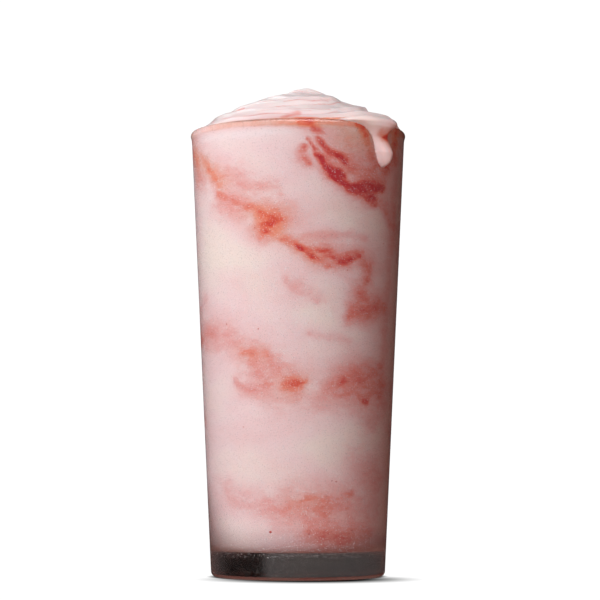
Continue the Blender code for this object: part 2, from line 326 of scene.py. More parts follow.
def spill_depth(azimuth, depth):
    """How far inside the spill's edge a point on the glass's wall is, in mm; minus outside."""
    line = smooth_through([(a * RIM_ARC, z) for a, z in SPILL_EDGE])
    distance, side, _ = to_line(np.stack([azimuth * RIM_ARC, depth], axis=-1), line)
    return distance * side


def rounded(inside, over):
    """A drop's round shoulder: 0 at its edge, 1 from the distance over inwards."""
    return np.sqrt(1 - (1 - np.clip(inside / over, 0, 1)) ** 2)


def spill_thickness(inside, depth):
    """The spill's thickness beyond the glass, sinking into it beyond the edge."""
    full = np.interp(depth, [DRIP_DEPTH, NECK_DEPTH, LIP_DEPTH],
                     [DRIP_THICKNESS, NECK_THICKNESS, LIP_THICKNESS])
    return full * rounded(inside, SPILL_ROUND) + BITE * np.clip(inside / SPILL_MARGIN, -1, 0)


def tongue(azimuth, radius):
    """What the spill adds to the crown's height, growing towards the rim."""
    start, crest, shoulder, end = TONGUE_AZIMUTHS
    share = smooth_step(azimuth, start, crest) * (1 - smooth_step(azimuth, shoulder, end))
    return (TONGUE_HEIGHT + TONGUE_DIP) * share * smooth_step(radius, *TONGUE_ROOT)


def lathe_points(profile, azimuths):
    """Profile points turned round the axis, as an array of column, row, coordinate."""
    a = np.radians(azimuths)[:, None]
    r, z = np.array(profile, float).T
    heights = np.broadcast_to(z, (len(azimuths), len(z)))
    return np.stack([r * np.sin(a), -r * np.cos(a), heights], axis=-1)


def mesh_piece(name, verts, faces, look, sharp_deg=None):
    """A mesh object from millimetre vertices and a list of faces."""
    mesh = bpy.data.meshes.new(name)
    mesh.from_pydata((np.asarray(verts) * MM).tolist(), [], faces)
    mesh.validate()
    mesh.shade_smooth()
    if sharp_deg:
        mesh.set_sharp_from_angle(angle=math.radians(sharp_deg))
    mesh.materials.append(look)
    piece = bpy.data.objects.new(name, mesh)
    bpy.context.scene.collection.objects.link(piece)
    return piece


def ring_faces(columns, rows, first=0):
    """Quads between neighbouring columns of a closed ring of columns."""
    i = np.arange(columns)[:, None]
    j = np.arange(rows - 1)[None, :]
    here = first + i * rows + j
    there = first + (i + 1) % columns * rows + j
    return np.stack([here, here + 1, there + 1, there], axis=-1).reshape(-1, 4).tolist()


def fan_faces(columns, rows, row, hub, first=0, flip=False):
    """Triangles from one row of a closed ring of columns to a hub vertex."""
    faces = []
    for i in range(columns):
        here = first + i * rows + row
        there = first + (i + 1) % columns * rows + row
        faces.append((hub, there, here) if flip else (hub, here, there))
    return faces


def build_glass(look):
    """The tumbler, turned from its profile."""
    azimuths = np.arange(GLASS_COLUMNS) * 360 / GLASS_COLUMNS
    profile = glass_profile()
    points = lathe_points(profile[1:-1], azimuths)
    columns, rows = points.shape[:2]
    verts = np.vstack([points.reshape(-1, 3), [[0, 0, profile[0][1]], [0, 0, profile[-1][1]]]])
    count = columns * rows
    faces = [face[::-1] for face in ring_faces(columns, rows)]
    faces += fan_faces(columns, rows, 0, count, flip=True)
    faces += fan_faces(columns, rows, rows - 1, count + 1)
    return mesh_piece("tumbler", verts, faces, look, GLASS_SHARP)


def turn_over(over, height, radius, wall, t):
    """The spill's outer skin from the crown's last point round to its first one on the wall."""
    start, end = np.array([over[-1], height[-1]]), np.array([radius[0], wall[0]])
    pull = TURN_PULL * np.array([end[0] - start[0], start[1] - end[1]])
    slope = min(0.0, (height[-1] - height[-2]) / (over[-1] - over[-2]))
    leave, arrive = start + pull[0] * np.array([1, 0.5 * slope]), end + [0, pull[1]]
    return (start * (1 - t) ** 3 + 3 * leave * t * (1 - t) ** 2 + 3 * arrive * t ** 2 * (1 - t)
            + end * t ** 3)


def spill_columns(azimuths):
    """The spill's outer and inner sheets over the rim and down the wall, and which of their
    points belong to it. Each is an array of column, row, and (radius, height)."""
    over = np.linspace(inner_radius(GLASS_HEIGHT) + BITE, bead_section()[0][0], OVER_ROWS + 1)[1:]
    share = np.linspace(0, 1, SPILL_ROWS) ** SPILL_CROWDED
    depths = -SPILL_START - (DRIP_REACH - SPILL_START) * share
    wall = GLASS_HEIGHT + depths
    swell = glass_skin(wall) - outer_radius(wall)
    t = np.linspace(0, 1, TURN_ROWS + 1)[1:-1, None]
    under = np.stack([over, glass_top(over) - SPILL_BITE], 1)
    side = np.stack([glass_skin(wall) - SPILL_BITE, wall], 1)
    inner = np.vstack([under, under[-1] + (side[0] - under[-1]) * t, side])
    outer, kept = [], []
    for azimuth in azimuths:
        spot = plan(np.full_like(over, azimuth), over)
        height = GLASS_HEIGHT + crown(spot) + tongue(np.full_like(over, azimuth), over)
        inside = spill_depth(np.full_like(wall, azimuth), depths)
        thick = spill_thickness(inside, depths)
        radius = glass_skin(wall) + thick - swell * np.clip(thick / LIP_THICKNESS, 0, 1)
        turn = turn_over(over, height, radius, wall, t)
        outer.append(np.vstack([np.stack([over, height], 1), turn, np.stack([radius, wall], 1)]))
        stands = height[-1] > GLASS_HEIGHT - BITE
        kept.append(np.concatenate([
            height > glass_top(over) - BITE, np.full(len(t), stands), inside > -SPILL_MARGIN]))
        kept[-1][len(over) + len(t)] |= stands
    return np.array(outer), np.broadcast_to(inner, np.shape(outer)), np.array(kept)


def crown_columns(azimuths):
    """The crown's points from near its middle out to its edge, as column, row, coordinate."""
    edge = inner_radius(GLASS_HEIGHT) + BITE
    radii = edge * (np.arange(1, CROWN_ROWS + 1) / CROWN_ROWS) ** CROWN_CROWDED
    a, r = np.meshgrid((azimuths + 180) % 360 - 180, radii, indexing="ij")
    spot = plan(a.ravel(), r.ravel())
    height = GLASS_HEIGHT + crown(spot) + tongue(a.ravel(), r.ravel())
    return np.column_stack([spot, height]).reshape(len(azimuths), CROWN_ROWS, 3)


def body_profile():
    """The drink's outline below the rim as (radius, height), down the wall and across the
    floor, reaching just into the glass."""
    top, low = GLASS_HEIGHT - SEAM_DEPTH, FLOOR_THICKNESS + INNER_CORNER
    levels = np.linspace(top, low, int((top - low) / WALL_STEP) + 1)
    corner = arc((inner_radius(low) + BITE - INNER_CORNER, low - BITE),
                 (INNER_CORNER, INNER_CORNER), 0, -90, DRINK_CORNER_STEPS)[1:]
    floor = along(corner[-1], (0.0, FLOOR_THICKNESS - BITE), DRINK_FLOOR_STEPS)[1:]
    return [(inner_radius(z) + BITE, z) for z in levels] + corner + floor


def spill_cells(kept):
    """Which squares between the spill's points exist, with an empty border round them. A
    square's row is that of its lower points; row 1 hangs on the crown's edge."""
    columns, rows = kept.shape
    cells = np.zeros((columns + 1, rows + 2), bool)
    pairs = kept[:-1] & kept[1:]
    cells[1:-1, 1:-1] = pairs
    cells[1:-1, 2:-1] &= pairs[:, :-1]
    return cells


def spill_faces(kept, corner_of):
    """The faces of both sheets and of the edge that joins them, and the columns where the
    spill hangs on the crown."""
    cells = spill_cells(kept)
    faces, hung = [], []
    for i, j in np.argwhere(cells[1:-1, 1:-1]):
        square = [(i, j), (i, j + 1), (i + 1, j + 1), (i + 1, j)]
        faces.append(tuple(corner_of(0, *p) for p in square))
        faces.append(tuple(corner_of(1, *p) for p in reversed(square)))
        if j == 0:
            hung.append(i)
        for di, dj, p, q in ((-1, 0, square[1], square[0]), (1, 0, square[3], square[2]),
                             (0, 1, square[2], square[1])):
            if not cells[i + 1 + di, j + 1 + dj]:
                faces.append((corner_of(0, *p), corner_of(0, *q), corner_of(1, *q),
                              corner_of(1, *p)))
    return faces, hung


def milkshake_shape():
    """The milkshake's vertices, and the faces of the swirl and of the drink below the rim. The
    swirl has the spill on it, as two sheets joined along its edge."""
    azimuths = np.arange(COLUMNS) * 360 / COLUMNS
    columns = np.concatenate([crown_columns(azimuths), lathe_points(body_profile(), azimuths)],
                             axis=1)
    rows = columns.shape[1]
    top, bottom, seam = (COLUMNS * rows + n for n in range(3))
    hubs = [[0, 0, GLASS_HEIGHT + crown(np.zeros((1, 2)))[0]], [0, 0, FLOOR_THICKNESS - BITE],
            [0, 0, GLASS_HEIGHT - SEAM_DEPTH]]
    swirl = fan_faces(COLUMNS, rows, 0, top)
    swirl += fan_faces(COLUMNS, rows, CROWN_ROWS, seam, flip=True)
    drink = fan_faces(COLUMNS, rows, rows - 1, bottom, flip=True)
    drink += fan_faces(COLUMNS, rows, CROWN_ROWS, seam)

    first, last = (int(round(azimuth * COLUMNS / 360)) for azimuth in SPILL_AZIMUTHS)
    chosen = np.arange(first, last + 1)
    *sheets, kept = spill_columns(azimuths[chosen])
    around = np.radians(azimuths[chosen])[:, None]
    turned = [np.stack([r * np.sin(around), -r * np.cos(around), z], axis=-1).reshape(-1, 3)
              for r, z in (np.moveaxis(sheet, -1, 0) for sheet in sheets)]
    spill_rows = kept.shape[1]
    starts = [seam + 1, seam + 1 + kept.size]

    def corner_of(sheet, i, j):
        """The vertex of a sheet's column and row; row 0 is the crown's edge or wall's top."""
        if j == 0:
            return int(chosen[i]) * rows + CROWN_ROWS - 1 + sheet
        return int(starts[sheet] + i * spill_rows + j - 1)

    spill, hung = spill_faces(kept, corner_of)
    swirl += spill
    under_spill = set(chosen[hung].tolist())
    for face in ring_faces(COLUMNS, rows):
        column, row = divmod(face[0], rows)
        if row >= CROWN_ROWS:
            drink.append(face)
        elif row < CROWN_ROWS - 1 or column not in under_spill:
            swirl.append(face)
    return np.vstack([columns.reshape(-1, 3), hubs, *turned]), swirl, drink


# Marbling, with painted shade, glow and highlight round the lip, drip and rim. Places are read in
# the photograph's 600 by 600 frame and put on the drink's wall.

AIM_ROUNDS = 12  # tries, each nearer, for where a line of sight meets the tapered wall


def on_wall(px, py):
    """The azimuth and height on the drink of what a pixel shows through the glass."""
    focal = CAMERA_LENS / SENSOR * PHOTO_SIZE
    pitch = math.radians(CAMERA_PITCH)
    half = PHOTO_SIZE / 2
    right, up = (px - half) / focal, (half - py) / focal
    forward = math.cos(pitch) - up * math.sin(pitch)
    rise = (math.sin(pitch) + up * math.cos(pitch)) / forward
    slide = right / forward
    reach = CAMERA_DISTANCE
    for _ in range(AIM_ROUNDS):
        x, z = CAMERA_SIDE + slide * reach, CAMERA_HEIGHT + rise * reach
        depth = max(outer_radius(z) ** 2 - x * x, 0.0)
        reach = CAMERA_DISTANCE - math.sqrt(depth)
    seen = math.asin(max(-1.0, min(1.0, x / outer_radius(z))))
    bent = math.asin(math.sin(seen) / GLASS_IOR)
    meets = math.asin(math.sin(bent) * outer_radius(z) / (inner_radius(z) + BITE))
    return math.degrees(seen - (meets - bent)), z


# Each streak: strength, skew and its places as (x, y, half width) in pixels. The syrup thins
# out softly on one side and ends sharply on the other. A skew of 1 is soft above, -1 below.
# The last four are painted warm shade and glow round the lip and drip, drawn in syrup colours.
STREAKS = [
    (0.85, 0, [(298, 119, 3), (307, 121, 4), (316, 121, 3)]),
    (0.75, 1, [(308, 122, 3), (315, 127, 3), (321, 131, 2.5)]),
    (0.75, 0, [(319, 138, 2), (323, 142, 3), (327, 145, 1.5)]),
    (0.80, 1, [(309, 139, 1), (314, 147, 1.6), (319, 154, 2.2), (323, 159, 3)]),
    (1.02, 1, [(322, 158, 2.4), (327, 166, 3.4), (334, 174, 3.8), (340, 180, 3.6)]),
    (1.00, 0, [(333, 170, 2), (341, 173, 3.8), (347, 176, 2.6)]),
    (0.80, 1, [(334, 175, 4), (344, 183, 4), (356, 191, 4), (368, 197, 5), (380, 205, 4)]),
    (0.95, 0, [(350, 184, 3), (360, 187, 5), (369, 187, 6), (378, 187, 6), (387, 187, 4)]),
    (1.05, 0, [(364, 190, 4), (373, 194, 6), (380, 199, 4)]),
    (0.45, 1, [(380, 196, 6), (388, 208, 7), (394, 224, 6)]),
    (0.92, 0, [(326, 146, 2), (334, 151, 3.6), (342, 156, 4), (350, 163, 3)]),
    (0.45, 1, [(344, 163, 5), (360, 172, 8), (378, 178, 8)]),
    (0.55, 0, [(306, 146, 2.5), (303, 152, 4), (306, 158, 4), (310, 163, 3)]),
    (0.44, 0, [(191, 150, 10), (194, 160, 12), (197, 176, 10)]),
    (0.34, 0, [(198, 158, 6), (206, 168, 6), (210, 174, 5)]),
    (0.50, 0, [(205, 167, 4.5), (210, 176, 6), (214, 183, 5)]),
    (0.30, 1, [(214, 178, 4), (232, 180, 6), (242, 187, 5)]),
    (0.26, 0, [(254, 185, 4), (264, 183, 4.5), (274, 184, 4.5), (280, 192, 4)]),
    (0.46, 0, [(214, 194, 4), (220, 198, 6), (228, 200, 5.5), (237, 204, 5.5), (247, 206, 5),
               (255, 210, 4)]),
    (0.22, -1, [(214, 206, 6), (224, 210, 6), (236, 212, 5)]),
    (0.70, 0, [(257, 212, 4), (262, 217, 8), (267, 221, 10), (264, 229, 8)]),
    (0.66, 0, [(270, 215, 7), (275, 219, 7), (280, 220, 3)]),
    (0.55, 0, [(271, 216, 4), (276, 209, 2.5)]),
    (0.45, 1, [(258, 233, 5), (270, 235, 5), (282, 240, 4)]),
    (0.55, 1, [(280, 239, 3), (289, 243, 3.5), (298, 247, 4)]),
    (0.90, 1, [(296, 246, 2), (302, 248, 2.5), (309, 252, 3.5), (315, 256, 3)]),
    (0.55, 1, [(310, 255, 4), (320, 261, 5), (332, 266, 3)]),
    (0.62, 0, [(315, 248, 3), (324, 251, 6), (334, 256, 7), (343, 259, 5)]),
    (0.82, 1, [(333, 256, 3), (340, 260, 4), (348, 262, 4), (355, 259, 3.5), (364, 257, 3)]),
    (0.55, 0, [(361, 257, 4), (369, 261, 6), (371, 269, 6), (372, 276, 5), (369, 284, 3)]),
    (0.28, 0, [(304, 235, 3), (328, 235, 4), (352, 235, 4), (369, 238, 4)]),
    (0.24, 1, [(286, 283, 3), (296, 289, 6), (307, 295, 6.5), (318, 300, 5)]),
    (0.60, 0, [(353, 319, 5), (361, 313, 9), (371, 309, 10), (383, 306, 9)]),
    (0.54, 0, [(365, 294, 7), (370, 299, 9), (377, 304, 8)]),
    (0.20, 0, [(312, 333, 4), (332, 337, 5), (352, 341, 5)]),
    (0.24, 0, [(196, 330, 8), (212, 337, 8), (230, 343, 8)]),
    (0.42, 0, [(238, 353, 5), (246, 353, 7), (255, 355, 7), (264, 354, 5)]),
    (0.20, 0, [(246, 360, 8), (252, 368, 9), (256, 374, 7)]),
    (0.36, -1, [(262, 356, 6), (276, 362, 7), (288, 370, 7), (298, 378, 6)]),
    (0.70, 0, [(284, 386, 4), (292, 385, 6), (300, 384, 5.5), (306, 382, 3)]),
    (0.38, 0, [(232, 382, 4), (239, 387, 5), (252, 389, 5), (268, 386, 6)]),
    (0.24, -1, [(256, 392, 6), (274, 397, 7), (292, 396, 7), (316, 399, 6), (330, 398, 4)]),
    (0.48, 0, [(330, 388, 5), (338, 386, 7), (348, 382, 7)]),
    (0.52, 0, [(350, 379, 8), (359, 376, 9), (369, 374, 9), (382, 370, 8)]),
    (0.36, -1, [(350, 388, 7), (368, 386, 9), (384, 384, 8)]),
    (0.80, 0, [(369, 401, 2), (372, 402, 2.2)]),
    (0.22, 0, [(202, 300, 5), (198, 318, 6), (204, 344, 6)]),
    (0.13, -1, [(214, 477, 6), (229, 484, 7), (246, 490, 7), (268, 499, 7)]),
    (0.12, 0, [(228, 500, 7), (242, 503, 8), (254, 511, 6)]),
    (0.30, -1, [(262, 501, 6), (288, 503, 9), (308, 503, 8), (330, 501, 7), (352, 497, 8)]),
    (0.50, 0, [(303, 501, 2), (310, 498, 3.5), (317, 497, 2)]),
    (0.50, 0, [(343, 498, 3), (350, 496, 4), (357, 493, 3)]),
    (0.26, 0, [(302, 514, 6), (318, 511, 5), (334, 503, 5)]),
    (0.20, 0, [(358, 456, 9), (370, 466, 12), (380, 484, 11)]),
    (0.34, 0, [(312, 534, 6), (326, 536, 8), (340, 539, 8), (354, 538, 8)]),
    # Painted warm shade beside the lip and down the drip's left side
    (0.80, 0, [(358, 122, 2.5), (362, 124, 4), (367, 129, 5), (370, 135, 4.5)]),
    (0.50, 0, [(370, 134, 5), (373, 147, 6), (377, 158, 5.5), (383, 168, 4)]),
    # Painted dark red shade right of the drip's neck
    (0.66, 0, [(388, 172, 7), (394, 158, 7), (397, 146, 7), (398, 132, 7)]),
    # Painted warm glow below the tongue
    (0.28, 0, [(322, 130, 7), (346, 136, 10), (362, 146, 10)]),
]
# Broad zones that syrup has tinted, and two of painted red shade at the right: strength, and places
# as above
WASHES = [
    (0.12, [(200, 170, 14), (226, 182, 16), (256, 198, 18), (280, 212, 12)]),
    (0.14, [(214, 206, 8), (232, 212, 9)]),
    # Painted dark red shade right of the drip, and down the glass's shaded right edge
    (0.32, [(399, 128, 7), (398, 160, 7)]),
    (0.22, [(398, 180, 7), (396, 230, 7), (391, 290, 7), (385, 400, 7)]),
    (0.16, [(296, 250, 10), (330, 256, 12), (362, 262, 14), (370, 292, 16)]),
    (0.22, [(350, 160, 18), (380, 176, 16)]),
    (0.12, [(200, 322, 14), (230, 346, 14), (262, 360, 16)]),
    (0.22, [(250, 372, 12), (272, 376, 14), (292, 386, 10)]),
    (0.24, [(334, 396, 12), (356, 392, 18), (382, 396, 20), (376, 420, 12)]),
    (0.16, [(352, 486, 20), (378, 476, 18)]),
    (0.14, [(222, 496, 12), (250, 506, 12), (280, 510, 14)]),
    (0.22, [(290, 510, 14), (320, 512, 16)]),
    (0.24, [(328, 510, 16), (350, 512, 16), (376, 512, 14)]),
    (0.30, [(312, 536, 9), (340, 538, 12), (372, 534, 12)]),
]
# Broad zones of paler, yellower milk: strength, and places as above
CREAM = [
    (0.9, [(212, 250, 16), (236, 262, 18), (256, 284, 12)]),
    (1.0, [(336, 208, 10), (356, 215, 12), (380, 224, 11)]),
    (0.6, [(306, 308, 10), (330, 312, 10)]),
    (1.0, [(330, 452, 12), (352, 444, 12), (380, 436, 9)]),
    (0.7, [(244, 462, 12), (270, 476, 12), (298, 480, 9)]),
    (0.5, [(318, 350, 10), (350, 352, 12)]),
]
# Zones where thin syrup looks orange: strength, and places as above
ORANGE = [
    (0.8, [(194, 156, 9), (206, 168, 9), (216, 182, 8)]),
    (0.9, [(258, 214, 12), (268, 222, 13), (276, 232, 8)]),
    (0.5, [(284, 242, 8), (300, 248, 8), (314, 256, 8)]),
    (0.4, [(240, 354, 8), (258, 354, 8)]),
    (0.55, [(286, 386, 10), (304, 382, 8)]),
    (0.35, [(296, 500, 10), (318, 500, 8)]),
]
# Syrup gathered under the rim, drawn bright orange as a painted glow there too, as (azimuth, amount)
# round it
RIM_SYRUP_AND_GLOW = [(-180, 0.25), (-110, 0.3), (-75, 0.13), (-38, 0.18), (-16, 0.26), (-4, 0.5),
             (10, 0.6), (24, 0.4), (50, 0.46), (64, 0.5), (90, 0.35), (130, 0.3), (180, 0.25)]
RIM_SYRUP_AND_GLOW_DEPTH = 3.4  # mm
# A painted highlight: a pale band drawn on the drink just below the rim syrup, at the left
PAINTED_RIM_HIGHLIGHT = 0.9  # how pale the drink is just below that, at the left
# Thin syrup on the swirl: strength, half width in mm, and its places as (azimuth, radius)
CROWN_SYRUP = [
    (0.45, 1.3, [(-8, 35.5), (-5, 34.2), (0, 33.0)]),
    (0.60, 0.35, [(-54, 28.6), (-50, 27.9), (-44, 27.6)]),
    (0.25, 0.3, [(-30, 29.6), (-16, 29.0), (-4, 29.2), (10, 30.0), (22, 30.4)]),
    (0.20, 0.25, [(-24, 31.0), (-8, 30.8), (8, 31.6)]),
    (0.25, 0.3, [(-12, 24.0), (0, 23.2), (14, 22.6), (30, 21.2)]),
    (0.30, 0.3, [(150, 23.0), (176, 22.0), (200, 23.5), (222, 26.0)]),
    (0.35, 0.4, [(96, 21.0), (118, 20.0), (140, 20.5)]),
]
# Painted warm shade, with thin syrup, in the fold under the lip: strength, and its places as
# (azimuth, depth, half width)
NECK_SHADE_AND_SYRUP = [
    (0.95, [(49.5, -5.0, 1.0), (52.0, -5.0, 1.6), (55.4, -4.6, 1.8)]),
    (0.55, [(46.5, -3.6, 1.0), (49.0, -4.2, 1.5), (52.0, -4.8, 1.6)]),
]
# Thin syrup along the swirl's creases: the crease, its width in mm and its strength
CREASE_SYRUP = [("upper tier", 0.2, 0.42), ("middle tier", 0.2, 0.4), ("top curl", 0.2, 0.3),
                ("front wrinkle", 0.2, 0.2)]
BACK_STREAKS = 44
BACK_AZIMUTHS, BACK_LOW, BACK_SPAN = (98, 248), 16, 138  # where the back's streaks are put
BACK_LENGTHS, BACK_SLOPES, BACK_HALF_WIDTHS = (6, 26), (-0.8, -0.1), (1.0, 3.2)
WANDER = [(12.0, 0.6), (4.5, 0.8), (2.0, 0.5)]  # size and amount of the pushes on their edges
FIBRE_GAP, FIBRE_DEPTH = 1.7, 0.3  # mm between the fibres along a streak, and how they show
SHARP_SIDE, SOFT_SIDE = 0.75, 1.7  # of the half width
HALO_WIDTH, HALO_SHARE = 2.8, 0.34  # a faint wash round each streak


def wall_line(places):
    """A streak's centre line unrolled on the drink's wall, as (arc, height, half width)."""
    unit = math.radians(1) * inner_radius(GLASS_HEIGHT / 2)
    rows = []
    for px, py, half in places:
        azimuth, z = on_wall(px, py)
        rows.append((azimuth * unit, z, half * CAMERA_DISTANCE / CAMERA_LENS * SENSOR / PHOTO_SIZE))
    return smooth_through(rows, per_span=5)


def back_streaks(seed=11):
    """Streaks for the sides and back, which the photo doesn't show, slanting as the shown do."""
    rng = np.random.default_rng(seed)
    unit = math.radians(1) * inner_radius(GLASS_HEIGHT / 2)
    lines = []
    for n in range(BACK_STREAKS):
        z = BACK_LOW + (n + rng.uniform(0.1, 0.9)) * BACK_SPAN / BACK_STREAKS
        azimuth = rng.uniform(*BACK_AZIMUTHS)
        slope = rng.uniform(*BACK_SLOPES)
        length = rng.uniform(*BACK_LENGTHS)
        half = rng.uniform(*BACK_HALF_WIDTHS)
        rows = [(azimuth * unit + t * length,
                 z + slope * t * length + rng.uniform(-1.5, 1.5),
                 half * (0.6 + math.sin(math.pi * (0.15 + 0.7 * t)))) for t in np.linspace(0, 1, 5)]
        lines.append((rng.uniform(0.25, 0.85), rng.choice([-1, 0, 1]), smooth_through(rows, 5)))
    return lines


def wander(verts):
    """How far the streaks' edges are pushed along and up at each vertex, in mm."""
    push = np.zeros((len(verts), 2))
    for n, vertex in enumerate(verts):
        for size, amount in WANDER:
            drift = noise.noise_vector(Vector(vertex) / size)
            push[n, 0] += amount * drift.x
            push[n, 1] += 0.7 * amount * drift.y
    return push


def ribbon(points, line, skew=0):
    """1 along a ribbon's middle, falling off to both sides, more slowly on its soft side, with
    a faint wash beyond."""
    reach = 5 * line[:, 2].max()
    low, high = line[:, :2].min(0) - reach, line[:, :2].max(0) + reach
    near = ((points > low) & (points < high)).all(axis=1)
    share = np.zeros(len(points))
    if near.any():
        distance, side, place = to_line(points[near], line)
        half = np.interp(place, np.arange(len(line)), line[:, 2])
        if skew:
            half = half * np.where(side * skew > 0, SOFT_SIDE, SHARP_SIDE)
        core = np.exp(-0.7 * (distance / half) ** 2)
        ripple = np.sin(2 * math.pi * side * distance / FIBRE_GAP + 2 * np.sin(0.45 * place))
        core = core * (1 - FIBRE_DEPTH * (0.5 + 0.5 * ripple) * (1 - core ** 3))
        share[near] = core + HALO_SHARE * (1 - core) * np.exp(-(distance / (HALO_WIDTH * half)) ** 2)
    return share


def marbling(verts):
    """Syrup, how thin and so how orange it is, cream, and how pale the milk is, from 0 to 1.
    The syrup and orange also carry painted warm shade and glow round the lip, drip and rim,
    and the paleness a painted highlight below the rim.
    """
    azimuth = np.degrees(np.arctan2(verts[:, 0], -verts[:, 1]))
    radius = np.linalg.norm(verts[:, :2], axis=1)
    unit = math.radians(1) * inner_radius(GLASS_HEIGHT / 2)
    flat = np.stack([azimuth * unit, verts[:, 2]], 1)
    moved = flat + wander(verts)
    turned = moved + [360 * unit, 0]
    lines = [(strength, skew, wall_line(places), moved) for strength, skew, places in STREAKS]
    lines += [(strength, skew, line, where) for strength, skew, line in back_streaks()
              for where in (moved, turned)]
    # Paler on the swirl, and in the painted highlight band below the rim at the left
    pale = smooth_step(verts[:, 2], GLASS_HEIGHT + 0.5, GLASS_HEIGHT + 4)
    pale = np.maximum(pale, PAINTED_RIM_HIGHLIGHT * np.exp(-((verts[:, 2] - GLASS_HEIGHT + 4.6) / 1.5) ** 2)
                      * (1 - smooth_step(azimuth, -10, 14)))
    syrup = np.zeros(len(verts))
    for strength, skew, line, where in lines:
        share = strength * ribbon(where, line, skew)
        syrup = np.maximum(syrup, share) + 0.12 * np.minimum(syrup, share)
    for strength, places in WASHES:
        syrup = np.maximum(syrup, strength * ribbon(moved, wall_line(places)) + 0.7 * syrup)
    cream = np.zeros(len(verts))
    for strength, places in CREAM:
        cream = np.maximum(cream, strength * ribbon(moved, wall_line(places)))
    at_rim = np.interp(azimuth, *zip(*RIM_SYRUP_AND_GLOW))
    below = GLASS_HEIGHT - verts[:, 2]
    # Rim syrup with a painted glow: orange syrup colour in a band under the rim and on the crown's
    # edge
    rim_syrup_and_glow = at_rim * (1 - smooth_step(below, 0.4 * RIM_SYRUP_AND_GLOW_DEPTH, RIM_SYRUP_AND_GLOW_DEPTH))
    rim_syrup_and_glow = rim_syrup_and_glow * smooth_step(radius, inner_radius(GLASS_HEIGHT) - 1.4,
                                      inner_radius(GLASS_HEIGHT) - 0.2)
    syrup = np.maximum(syrup, rim_syrup_and_glow)
    # Orange is stronger in that band, and beside the lip and drip for the painted warm shade and
    # glow there
    thin = np.maximum(smooth_step(rim_syrup_and_glow, 0, 0.15), (1 - smooth_step(below, 4, 15))
                      * smooth_step(azimuth, 12, 30) * (1 - smooth_step(azimuth, 66, 80)))
    for strength, places in ORANGE:
        thin = np.maximum(thin, strength * ribbon(moved, wall_line(places)))
    in_glass = radius < outer_radius(verts[:, 2]) - 0.6
    syrup, cream, thin = (np.where(in_glass & (below > -0.8), v, 0)
                          for v in (syrup, cream, thin))

    outside = radius > outer_radius(verts[:, 2])
    unrolled = np.stack([azimuth[outside] * RIM_ARC, -below[outside]], 1)
    # Painted shade under the lip, drawn in redder syrup colours
    for strength, places in NECK_SHADE_AND_SYRUP:
        line = smooth_through([(a * RIM_ARC, z, w) for a, z, w in places])
        share = strength * ribbon(unrolled, line)
        syrup[outside] = np.maximum(syrup[outside], share)
        thin[outside] = 0.5

    top = verts[:, 2] > GLASS_HEIGHT - 0.5
    spot = verts[top, :2]
    for name, reach, strength in CREASE_SYRUP:
        distance, _, place = to_line(spot, crease_line(CREASES[name]))
        patchy = 0.6 + 0.4 * np.sin(place * 0.35 + 1.3 * np.sin(place * 0.21))
        line = strength * patchy * np.exp(-(distance / reach) ** 2)
        syrup[top] = np.maximum(syrup[top], line)
    for strength, half, places in CROWN_SYRUP:
        distance, _, _ = to_line(spot, smooth_through(plan(*np.array(places, float).T)))
        syrup[top] = np.maximum(syrup[top], strength * np.exp(-(distance / half) ** 2))
    return syrup, thin, cream, pale


# Materials

def colour(code):
    """An sRGB hex colour as linear RGBA."""
    parts = [int(code[i:i + 2], 16) / 255 for i in (0, 2, 4)]
    return (*[c / 12.92 if c <= 0.04045 else ((c + 0.055) / 1.055) ** 2.4 for c in parts], 1.0)


def add_node(tree, kind, links=None, values=None, stops=(), **settings):
    """Adds one node with its settings, socket values, links from other nodes' outputs and, on
    a ramp, its colours as (place, hex), the first at 0 and the last at 1."""
    made = tree.nodes.new(kind)
    for name, value in settings.items():
        setattr(made, name, value)
    for socket, value in (values or {}).items():
        made.inputs[socket].default_value = value
    for socket, source in (links or {}).items():
        tree.links.new(source, made.inputs[socket])
    if stops:
        elements = made.color_ramp.elements
        elements[0].color, elements[1].color = colour(stops[0][1]), colour(stops[-1][1])
    for at, shade in stops[1:-1]:
        elements.new(at).color = colour(shade)
    return made


def new_material(name, values):
    """A material with one Principled shader, its tree and that shader."""
    made = bpy.data.materials.new(name)
    made.use_nodes = True
    shader = made.node_tree.nodes["Principled BSDF"]
    for socket, value in values.items():
        shader.inputs[socket].default_value = value
    return made, made.node_tree, shader


# The syrup's colours from none to thick, where it is thick and where it is thin
RED_SYRUP = [(0.0, "e6cac9"), (0.25, "e0b1ae"), (0.5, "da8a80"), (0.75, "d0584e"), (1.0, "ba2830")]
THIN_SYRUP = [(0.0, "e8cecb"), (0.25, "ddb0a2"), (0.5, "e19277"), (0.75, "dc694c"),
              (1.0, "cc3c34")]


